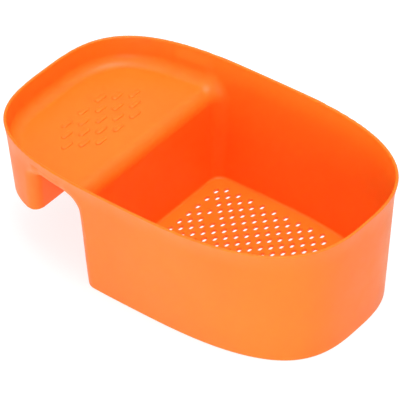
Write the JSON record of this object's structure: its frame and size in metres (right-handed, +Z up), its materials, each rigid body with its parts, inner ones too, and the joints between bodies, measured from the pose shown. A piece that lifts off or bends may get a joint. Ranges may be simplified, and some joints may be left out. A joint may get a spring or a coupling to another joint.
{
  "type": "saddle sink strainer basket",
  "caption": "Oval plastic strainer basket that straddles a sink divider, with a perforated deep tub and a shallow nubbed sponge tray",
  "frame": {"origin": "on the base plane, under the centre of the oval rim", "axes": "+X to the rounded end of the deep tub, +Y across the rim, +Z up"},
  "size_m": [0.2839, 0.172, 0.1],
  "materials": {
    "shell": "satin-gloss injection-moulded polypropylene",
    "nubs": "satin-gloss moulded polypropylene, same moulding as the shell"
  },
  "bodies": {
    "root": {"rim": "shell", "strainer_floor": "shell", "tub_front_wall": "shell", "tub_back_wall": "shell", "tub_end_wall": "shell", "divider_wall": "shell", "divider_bend": "shell", "tray_floor": "shell", "saddle_bridge": "shell", "tray_side": "shell", "saddle_leg_shell": "shell", "saddle_leg_face": "shell", "sponge_nub_01": "nubs", "sponge_nub_02": "nubs", "sponge_nub_03": "nubs", "sponge_nub_04": "nubs", "sponge_nub_05": "nubs", "sponge_nub_06": "nubs", "sponge_nub_07": "nubs", "sponge_nub_08": "nubs", "sponge_nub_09": "nubs", "sponge_nub_10": "nubs", "sponge_nub_11": "nubs", "sponge_nub_12": "nubs", "sponge_nub_13": "nubs", "sponge_nub_14": "nubs", "sponge_nub_15": "nubs", "sponge_nub_16": "nubs", "sponge_nub_17": "nubs", "sponge_nub_18": "nubs", "sponge_nub_19": "nubs"}
  },
  "joints": []
}
